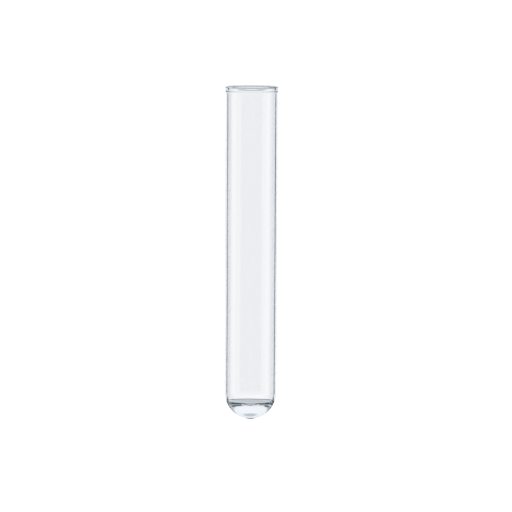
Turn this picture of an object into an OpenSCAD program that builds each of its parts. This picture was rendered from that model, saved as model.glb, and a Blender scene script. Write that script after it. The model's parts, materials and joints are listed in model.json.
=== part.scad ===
// Laboratory test tube: one length of thin drawn glass, gathered into a thick round end at the
// bottom and fire-polished to a rounded bead at the open mouth.
// Millimetres. +Z runs up the axis to the mouth; the origin is the lowest point of the seal mark.

/* [Tube] */
// Outer diameter of the straight wall
tube_d = 15.7; // [14:0.1:25]
// Height from the tip of the seal mark to the top of the bead
tube_h = 100; // [70:1:200]
// Thickness of the straight wall
wall_t = 0.7; // [0.5:0.05:1]

/* [Round end] */
// Thickness of the glass on the axis, where the end was gathered
end_t = 3.95; // [2:0.05:4.5]
// Radius of the shallow dish that floors the bore
floor_r = 20; // [14:0.5:60]
// Radius of the knuckle between the dish and the round wall
knuckle_r = 0.8; // [0.4:0.1:1.2]
// How far the seal mark stands down from the round end
seal_h = 0.25; // [0.1:0.05:0.4]
// Width of the seal mark where it leaves the round end
seal_w = 3.2; // [2:0.2:4]

/* [Bead] */
// How far the bead stands out from the wall
bead_out = 0.1; // [0.05:0.05:0.5]
// How far the bead stands into the bore
bead_in = 0.25; // [0.15:0.05:0.5]
// Height of the straight land inside the mouth, where a stopper seats
land_h = 0.5; // [0.4:0.1:2]
// Radius of the hollow that blends the bead into the wall
blend_r = 0.6; // [0.3:0.1:1.5]

/* [Hidden] */
$fn = 128;

tube_r = tube_d / 2;
bore_r = tube_r - wall_t;

// The round end's outer sphere sits on the seal mark. The bore's round wall shares its centre,
// down to a dish that lies on the thick glass.
end_z = seal_h + tube_r;
dish_z = seal_h + end_t + floor_r;

// Centre of the knuckle's section: a circle here touches the round wall and the dish from inside.
// It is cut knuckle_bite larger, so that it crosses both cleanly.
knuckle_z = (pow(bore_r - knuckle_r, 2) - pow(floor_r - knuckle_r, 2)
    + pow(dish_z, 2) - pow(end_z, 2)) / (2 * (dish_z - end_z));
knuckle_x = sqrt(pow(bore_r - knuckle_r, 2) - pow(end_z - knuckle_z, 2));
knuckle_bite = 0.01;

// The seal mark is a cap of the one sphere that touches z = 0 and meets the round end at seal_w.
seal_rise = end_z - sqrt(pow(tube_r, 2) - pow(seal_w / 2, 2));
seal_r = (pow(seal_w / 2, 2) + pow(seal_rise, 2)) / (2 * seal_rise);

// The bead's section is an upright capsule astride the wall.
bead_r = (wall_t + bead_out + bead_in) / 2;
bead_x = tube_r + bead_out - bead_r;
bead_top_z = tube_h - bead_r;
bead_low_z = bead_top_z - land_h;

// Drop from the bead's lower centre to where a blend of radius blend_r runs into the wall,
// for a bead that stands proud of that wall by `proud`.
function blend_drop(proud) = sqrt(proud * (2 * (bead_r + blend_r) - proud));

// Section of the hollow between the bead and a wall face at radius wall_x.
// side is 1 on the outer face and -1 in the bore.
module blend_section(wall_x, proud, side) {
    centre = [wall_x + side * blend_r, bead_low_z - blend_drop(proud)];
    difference() {
        polygon([[bead_x, bead_low_z], centre, [bead_x, centre[1]]]);
        translate(centre) circle(r = blend_r);
    }
}

module bead_section() {
    translate([bead_x, bead_top_z]) circle(r = bead_r);
    translate([bead_x, bead_low_z]) circle(r = bead_r);
    translate([bead_x - bead_r, bead_low_z]) square([2 * bead_r, land_h]);
    blend_section(tube_r, bead_out, 1);
    blend_section(bore_r, bead_in, -1);
}

// A solid of the tube's own form: a round end of radius r centred at centre_z, and a straight
// body from there up to top_z.
module round_ended(r, centre_z, top_z) {
    translate([0, 0, centre_z]) sphere(r = r);
    translate([0, 0, centre_z]) cylinder(r = r, h = top_z - centre_z);
}

// Section of the corner that the knuckle fills with glass.
module knuckle_section() {
    centre = [knuckle_x, knuckle_z];
    reach = 2.5 * knuckle_r;
    difference() {
        polygon([
            centre,
            centre + reach * (centre - [0, dish_z]) / (floor_r - knuckle_r),
            centre + reach * (centre - [0, end_z]) / (bore_r - knuckle_r),
        ]);
        translate(centre) circle(r = knuckle_r + knuckle_bite);
    }
}

// The hollow of the tube: straight, then round, then floored by the dish.
module bore() {
    difference() {
        intersection() {
            round_ended(bore_r, end_z, tube_h);
            round_ended(floor_r, dish_z, tube_h);
        }
        rotate_extrude() knuckle_section();
    }
}

module glass_tube() {
    color([0.86, 0.89, 0.91, 0.45]) {
        difference() {
            union() {
                round_ended(tube_r, end_z, bead_low_z);
                translate([0, 0, seal_r]) sphere(r = seal_r);
            }
            bore();
        }
        rotate_extrude() bead_section();
    }
}

glass_tube();
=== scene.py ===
"""Looks for the glass test tube: one lathe-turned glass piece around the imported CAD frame, a pale
light table, a soft studio around it, and a long-lens camera a few degrees above the horizon."""

import json
import math

import bmesh
import bpy
from mathutils import Matrix, Vector, noise


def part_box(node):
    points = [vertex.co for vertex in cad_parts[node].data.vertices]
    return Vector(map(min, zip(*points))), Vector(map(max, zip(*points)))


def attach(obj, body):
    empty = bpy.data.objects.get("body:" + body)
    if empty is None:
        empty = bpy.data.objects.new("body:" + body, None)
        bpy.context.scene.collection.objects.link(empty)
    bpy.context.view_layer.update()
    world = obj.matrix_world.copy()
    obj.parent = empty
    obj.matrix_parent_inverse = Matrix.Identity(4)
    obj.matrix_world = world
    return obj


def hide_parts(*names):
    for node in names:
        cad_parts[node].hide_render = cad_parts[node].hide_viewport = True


MM = 0.001

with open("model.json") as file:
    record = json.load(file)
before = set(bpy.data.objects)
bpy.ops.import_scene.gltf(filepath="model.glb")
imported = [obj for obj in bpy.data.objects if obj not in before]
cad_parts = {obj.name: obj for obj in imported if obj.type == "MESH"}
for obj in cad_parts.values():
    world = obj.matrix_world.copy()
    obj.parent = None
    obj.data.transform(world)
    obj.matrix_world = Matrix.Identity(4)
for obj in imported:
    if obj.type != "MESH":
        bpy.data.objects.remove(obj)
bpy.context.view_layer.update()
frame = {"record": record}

# --- Driving sizes, from the frame ------------------------------------------------------------

record = frame["record"]
mounts = {m["name"]: m for m in record["mounts"]}
tube_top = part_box("glass_tube")[1]

TUBE_R = mounts["body"]["dims"]["r_mm"] * MM
BODY_Z = mounts["body"]["pos_m"][2]
BODY_L = mounts["body"]["dims"]["length_mm"] * MM
END_Z = BODY_Z - BODY_L / 2          # centre of the round end's outer sphere
BEAD_R_OUT = tube_top.x
MOUTH_R = mounts["mouth"]["dims"]["r_mm"] * MM
LAND_H = mounts["mouth"]["dims"]["length_mm"] * MM
TOP_Z = tube_top.z

# Sizes that the record doesn't state.
WALL = 0.7 * MM
END_T = 3.95 * MM
DISH_R = 20 * MM
KNUCKLE_R = 0.8 * MM
BLEND_R = 0.6 * MM
SEAL_W = 3.2 * MM

# What drawing the glass leaves in it.
TAPER = 0.015            # how much narrower the tube is at the bottom, as a share
WAVE = 0.012 * MM        # depth of the faint waves
WAVE_RISE = 22 * MM      # height over which a wave changes
WAVE_TURN = 2.2          # how quickly it changes around the tube

SEGMENTS = 256           # sides of the lathed mesh
WALL_STEP = 1.5 * MM     # height of its faces on the straight wall

BORE_R = TUBE_R - WALL
SEAL_H = END_Z - TUBE_R


def sine(angle):
    return math.sin(math.radians(angle))


def cosine(angle):
    return math.cos(math.radians(angle))


# --- The section of the glass -----------------------------------------------------------------

def arc(centre, radius, start, end, steps):
    """Points on an arc in the (radius, height) plane; angles in degrees, anticlockwise from outward."""
    made = []
    for i in range(steps + 1):
        angle = start + (end - start) * i / steps
        made.append((centre[0] + radius * cosine(angle), centre[1] + radius * sine(angle)))
    return made


def straight(start, end, step):
    """Points from start to end, without the ends, about one step apart."""
    length = math.dist(start, end)
    count = max(1, round(length / step))
    return [
        (start[0] + (end[0] - start[0]) * i / count, start[1] + (end[1] - start[1]) * i / count)
        for i in range(1, count)
    ]


def glass_section():
    """The closed outline of half the tube, from the seal mark up the outside, over the bead and
    down the bore to the inner pole."""
    bead_r = (BEAD_R_OUT - MOUTH_R) / 2
    bead_x = BEAD_R_OUT - bead_r
    bead_top = TOP_Z - bead_r
    bead_low = bead_top - LAND_H

    # Seal mark: a cap whose sphere touches the floor and meets the round end at SEAL_W.
    rise = END_Z - math.sqrt(TUBE_R**2 - (SEAL_W / 2) ** 2)
    seal_r = ((SEAL_W / 2) ** 2 + rise**2) / (2 * rise)
    seal_edge = math.degrees(math.asin(SEAL_W / 2 / seal_r))
    end_edge = math.degrees(math.asin(SEAL_W / 2 / TUBE_R))
    outline = arc((0, seal_r), seal_r, -90, -90 + seal_edge, steps=10)
    outline += arc((0, END_Z), TUBE_R, -90 + end_edge, 0, steps=44)[1:]

    def blend_angle(proud):
        """How far the bead's arc turns before its blend starts, for a bead standing proud."""
        return math.degrees(math.acos(1 - proud / (bead_r + BLEND_R)))

    out_turn = blend_angle(BEAD_R_OUT - TUBE_R)
    in_turn = blend_angle(BORE_R - MOUTH_R)
    out_drop = (bead_r + BLEND_R) * sine(out_turn)
    in_drop = (bead_r + BLEND_R) * sine(in_turn)

    outer_blend = arc((TUBE_R + BLEND_R, bead_low - out_drop), BLEND_R, 180, 180 - out_turn, steps=6)
    outline += straight(outline[-1], outer_blend[0], WALL_STEP) + outer_blend
    outline += arc((bead_x, bead_low), bead_r, -out_turn, 0, steps=6)[1:]
    outline += arc((bead_x, bead_top), bead_r, 0, 180, steps=32)
    outline += arc((bead_x, bead_low), bead_r, 180, 180 + in_turn, steps=6)
    inner_blend = arc((BORE_R - BLEND_R, bead_low - in_drop), BLEND_R, in_turn, 0, steps=6)
    outline += inner_blend[1:]

    # Inside, the round wall turns through a knuckle into the shallow dish on the thick glass.
    dish_z = SEAL_H + END_T + DISH_R
    wall_reach, dish_reach = BORE_R - KNUCKLE_R, DISH_R - KNUCKLE_R
    knuckle_z = (wall_reach**2 - dish_reach**2 + dish_z**2 - END_Z**2) / (2 * (dish_z - END_Z))
    knuckle_x = math.sqrt(wall_reach**2 - (END_Z - knuckle_z) ** 2)
    wall_end = -math.degrees(math.asin((END_Z - knuckle_z) / wall_reach))
    dish_end = -math.degrees(math.acos(knuckle_x / dish_reach))
    outline += straight(outline[-1], (BORE_R, END_Z), WALL_STEP)
    outline += arc((0, END_Z), BORE_R, 0, wall_end, steps=16)
    outline += arc((knuckle_x, knuckle_z), KNUCKLE_R, wall_end, dish_end, steps=12)[1:]
    outline += arc((0, dish_z), DISH_R, dish_end, -90, steps=20)[1:-1]
    return outline + [(0, dish_z - DISH_R)]


def drawn(r, z, a):
    """The radius r as drawn glass has it: a little narrower downwards, and faintly wavy. The bore's
    waves aren't the outside's, and the waves die out towards the axis."""
    taper = 1 - TAPER * (1 - z / TOP_Z)
    around = (WAVE_TURN * math.sin(a), WAVE_TURN * math.cos(a))
    wave = noise.noise(Vector((*around, z / WAVE_RISE + r / (2 * MM))))
    return r * taper + WAVE * wave * min(1, r / (3 * MM))


def lathe(name, outline):
    """Turns an outline whose two ends lie on the axis into a closed mesh."""
    on_axis = 1e-7
    bm = bmesh.new()
    rings = []
    for r, z in outline:
        if r < on_axis:
            rings.append([bm.verts.new((0, 0, z))])
            continue
        ring = []
        for i in range(SEGMENTS):
            a = 2 * math.pi * i / SEGMENTS
            w = drawn(r, z, a)
            ring.append(bm.verts.new((w * math.sin(a), -w * math.cos(a), z)))
        rings.append(ring)
    for a, b in zip(rings, rings[1:]):
        for i in range(SEGMENTS):
            j = (i + 1) % SEGMENTS
            corners = [a[i % len(a)], a[j % len(a)], b[j % len(b)], b[i % len(b)]]
            corners = list(dict.fromkeys(corners))
            if len(corners) > 2:
                bm.faces.new(corners)
    for face in bm.faces:
        face.smooth = True
    bm.normal_update()
    mesh = bpy.data.meshes.new(name)
    bm.to_mesh(mesh)
    bm.free()
    made = bpy.data.objects.new(name, mesh)
    bpy.context.scene.collection.objects.link(made)
    return made


# --- Materials --------------------------------------------------------------------------------

class Graph:
    """A node tree with short calls for the maths that the studio needs."""

    def __init__(self, tree):
        self.nodes = tree.nodes
        self.links = tree.links
        self.nodes.clear()

    def put(self, kind, *inputs, **settings):
        """A new node; each input is a socket to link or a value to set."""
        node = self.nodes.new(kind)
        for key, value in settings.items():
            setattr(node, key, value)
        for i, value in enumerate(inputs):
            if isinstance(value, bpy.types.NodeSocket):
                self.links.new(value, node.inputs[i])
            elif value is not None:
                node.inputs[i].default_value = value
        return node

    def maths(self, operation, *inputs):
        return self.put("ShaderNodeMath", *inputs, operation=operation).outputs[0]

    def vector(self, operation, *inputs, output=0):
        return self.put("ShaderNodeVectorMath", *inputs, operation=operation).outputs[output]

    def rise(self, value, start, end):
        """0 before start, 1 after end, with a smooth change between."""
        return self.put(
            "ShaderNodeMapRange", value, start, end, 0.0, 1.0, interpolation_type="SMOOTHSTEP"
        ).outputs[0]


ROUGHNESS = (0.004, 0.022)    # of the clean glass, and of the bloom
RELIEF = 0.004 * MM           # depth of the ripple; the draw lines have a quarter of it


def glass_material():
    """Clear borosilicate: long shallow draw lines along the tube, a soft ripple, and a bloom of
    handling that roughens the skin very slightly in patches."""
    mat = bpy.data.materials.new("clear_glass")
    mat.use_nodes = True
    graph = Graph(mat.node_tree)
    place = graph.put("ShaderNodeTexCoord").outputs["Object"]

    def grain(across, along, detail, roughness):
        """Noise that changes `across` and `along` times a metre."""
        stretched = graph.vector("MULTIPLY", place, (across, across, along))
        return graph.put(
            "ShaderNodeTexNoise", stretched, None, 1.0, detail, roughness
        ).outputs[0]

    lines = grain(900, 12, detail=3.0, roughness=0.5)
    ripple = grain(140, 45, detail=2.0, roughness=0.5)
    bloom = grain(110, 60, detail=5.0, roughness=0.6)
    rough = graph.put("ShaderNodeMapRange", bloom, 0.4, 0.7, *ROUGHNESS).outputs[0]
    relief = graph.maths("ADD", graph.maths("MULTIPLY", lines, 0.25), ripple)
    bump = graph.put("ShaderNodeBump")
    bump.inputs["Strength"].default_value = 1.0
    bump.inputs["Distance"].default_value = RELIEF
    graph.links.new(relief, bump.inputs["Height"])
    shader = graph.put("ShaderNodeBsdfPrincipled")
    shader.inputs["Base Color"].default_value = (1, 1, 1, 1)
    shader.inputs["Transmission Weight"].default_value = 1
    shader.inputs["IOR"].default_value = 1.47
    graph.links.new(rough, shader.inputs["Roughness"])
    graph.links.new(bump.outputs["Normal"], shader.inputs["Normal"])
    absorption = graph.put("ShaderNodeVolumeAbsorption")
    absorption.inputs["Color"].default_value = (0.80, 0.90, 1.0, 1)
    absorption.inputs["Density"].default_value = 20
    output = graph.put("ShaderNodeOutputMaterial", shader.outputs[0])
    graph.links.new(absorption.outputs["Volume"], output.inputs["Volume"])
    return mat


# --- Stage ------------------------------------------------------------------------------------

# The camera's framing.
ELEVATION = 3.7          # degrees above the horizon
ROLL = 0.27              # degrees
DISTANCE = 2.5           # metres
FILL = 0.6497            # the tube's share of the frame's height
ASIDE = 0.0096           # how far the aim is to the right of the tube, as a share of the frame's height
BELOW = 0.0061           # and how far below the tube's middle
SENSOR = 36              # millimetres

GLARE = 1.05             # what the camera sees around the tube: just past white

# The studio as the glass sees it, painted one area over another on a pale grey room. Angles are in
# degrees, and azimuth is from straight behind the tube (+Y) towards +X. The areas at the horizon
# give the straight wall its shading, and the rest shows in the round end and from above. The small
# white areas at -90, 135 and -45 aren't for the main view: each lies opposite another side of the
# tube, which would look grey or darker without it.
ROOM = (0.54, 0.58, 0.62)
SHADE = (0.10, 0.16, 0.20)
BLACK = (0.0, 0.05, 0.11)
WHITE = (0.97, 0.98, 1.0)
DIM = (0.20, 0.27, 0.34)
PALE = (0.30, 0.35, 0.34)
SIDE = (0.43, 0.49, 0.43)


def both_sides(azimuth, **panel):
    """The same panel to the right and to the left."""
    return [dict(azimuth=azimuth, **panel), dict(azimuth=-azimuth, **panel)]


PANELS = [
    dict(azimuth=0, half=180, low=-7, high=1, soft=2, colour=BLACK),
    dict(azimuth=0, half=180, low=21, high=90, soft=3, colour=BLACK),
    dict(azimuth=0, half=180, low=-90, high=-35, soft=3, colour=SHADE),
    *both_sides(azimuth=52, half=8, low=-7, high=1, soft=3, colour=DIM),
    *both_sides(azimuth=69, half=9, low=-7, high=1, soft=3, colour=PALE),
    *both_sides(azimuth=103, half=25, low=-9, high=9, soft=4, colour=SIDE),
    dict(azimuth=-90, half=13, low=-9, high=9, soft=6, colour=WHITE),
    *both_sides(azimuth=65, half=27, low=-33, high=-8, soft=3, colour=SHADE),
    dict(azimuth=-0.7, half=33, low=-30, high=21, soft=4, colour=WHITE),
    dict(azimuth=0, half=40, low=-23, high=-11, soft=2, colour=SHADE),
    dict(azimuth=135, half=20, low=-22, high=-9, soft=3, colour=WHITE),
    dict(azimuth=-45, half=20, low=-32, high=-18, soft=3, colour=WHITE),
]


def studio_world():
    """The painted studio for the glass, and plain white for the camera."""
    made = bpy.data.worlds.new("studio")
    made.use_nodes = True
    bpy.context.scene.world = made
    graph = Graph(made.node_tree)
    towards = graph.put("ShaderNodeTexCoord").outputs["Generated"]
    flat = graph.vector("NORMALIZE", graph.vector("MULTIPLY", towards, (1, 1, 0)))
    height = graph.put("ShaderNodeSeparateXYZ", towards).outputs["Z"]
    total = graph.put("ShaderNodeCombineXYZ", *ROOM).outputs[0]
    for panel in PANELS:
        turn = math.radians(panel["azimuth"])
        facing = graph.vector("DOT_PRODUCT", flat, (math.sin(turn), math.cos(turn), 0), output=1)
        soft, half = panel["soft"], panel["half"]
        bottom = graph.rise(height, sine(panel["low"] - soft), sine(panel["low"] + soft))
        top = graph.rise(height, sine(panel["high"] + soft), sine(panel["high"] - soft))
        mask = graph.maths("MULTIPLY", bottom, top)
        if half < 180:
            across = graph.rise(facing, cosine(half + soft), cosine(half - soft))
            mask = graph.maths("MULTIPLY", across, mask)
        change = graph.vector("SUBTRACT", panel["colour"], total)
        total = graph.vector("ADD", total, graph.vector("SCALE", change, None, None, mask))
    to_camera = graph.put("ShaderNodeLightPath").outputs["Is Camera Ray"]
    white = graph.vector("SCALE", (GLARE, GLARE, GLARE), None, None, to_camera)
    not_camera = graph.maths("SUBTRACT", 1.0, to_camera)
    glass_sees = graph.vector("SCALE", total, None, None, not_camera)
    back = graph.put("ShaderNodeBackground", graph.vector("ADD", white, glass_sees))
    graph.put("ShaderNodeOutputWorld", back.outputs[0])


def camera():
    """A long lens a little above the horizon, aimed near the tube's middle."""
    data = bpy.data.cameras.new("camera")
    made = bpy.data.objects.new("camera", data)
    bpy.context.scene.collection.objects.link(made)
    height = TOP_Z * cosine(ELEVATION) / FILL
    data.sensor_width = SENSOR
    data.lens = SENSOR / 2 / (height / 2 / DISTANCE)
    data.clip_start = 0.05
    data.clip_end = 30
    aim = Vector((ASIDE * height, 0, TOP_Z / 2 - BELOW * height))
    away = Vector((0, -cosine(ELEVATION), sine(ELEVATION)))
    made.matrix_world = (
        Matrix.Translation(aim + DISTANCE * away)
        @ Matrix.Rotation(math.radians(90 - ELEVATION), 4, "X")
        @ Matrix.Rotation(math.radians(ROLL), 4, "Z")
    )
    bpy.context.scene.camera = made


def floor():
    """A wide white light table, seen by the camera only: the glass sees the studio's own room."""
    bm = bmesh.new()
    bmesh.ops.create_circle(bm, cap_ends=True, segments=64, radius=12)
    mesh = bpy.data.meshes.new("floor")
    bm.to_mesh(mesh)
    bm.free()
    made = bpy.data.objects.new("floor", mesh)
    bpy.context.scene.collection.objects.link(made)
    mat = bpy.data.materials.new("floor_white")
    mat.use_nodes = True
    graph = Graph(mat.node_tree)
    lit = graph.put("ShaderNodeEmission", (1, 1, 1, 1), GLARE).outputs[0]
    graph.put("ShaderNodeOutputMaterial", lit)
    mesh.materials.append(mat)
    made.visible_diffuse = made.visible_glossy = made.visible_transmission = False
    made.visible_shadow = False


camera()
studio_world()
floor()
bpy.context.scene.view_settings.view_transform = "Standard"

tube = lathe("test_tube_glass", glass_section())
tube.data.materials.append(glass_material())
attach(tube, "root")
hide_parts("glass_tube")
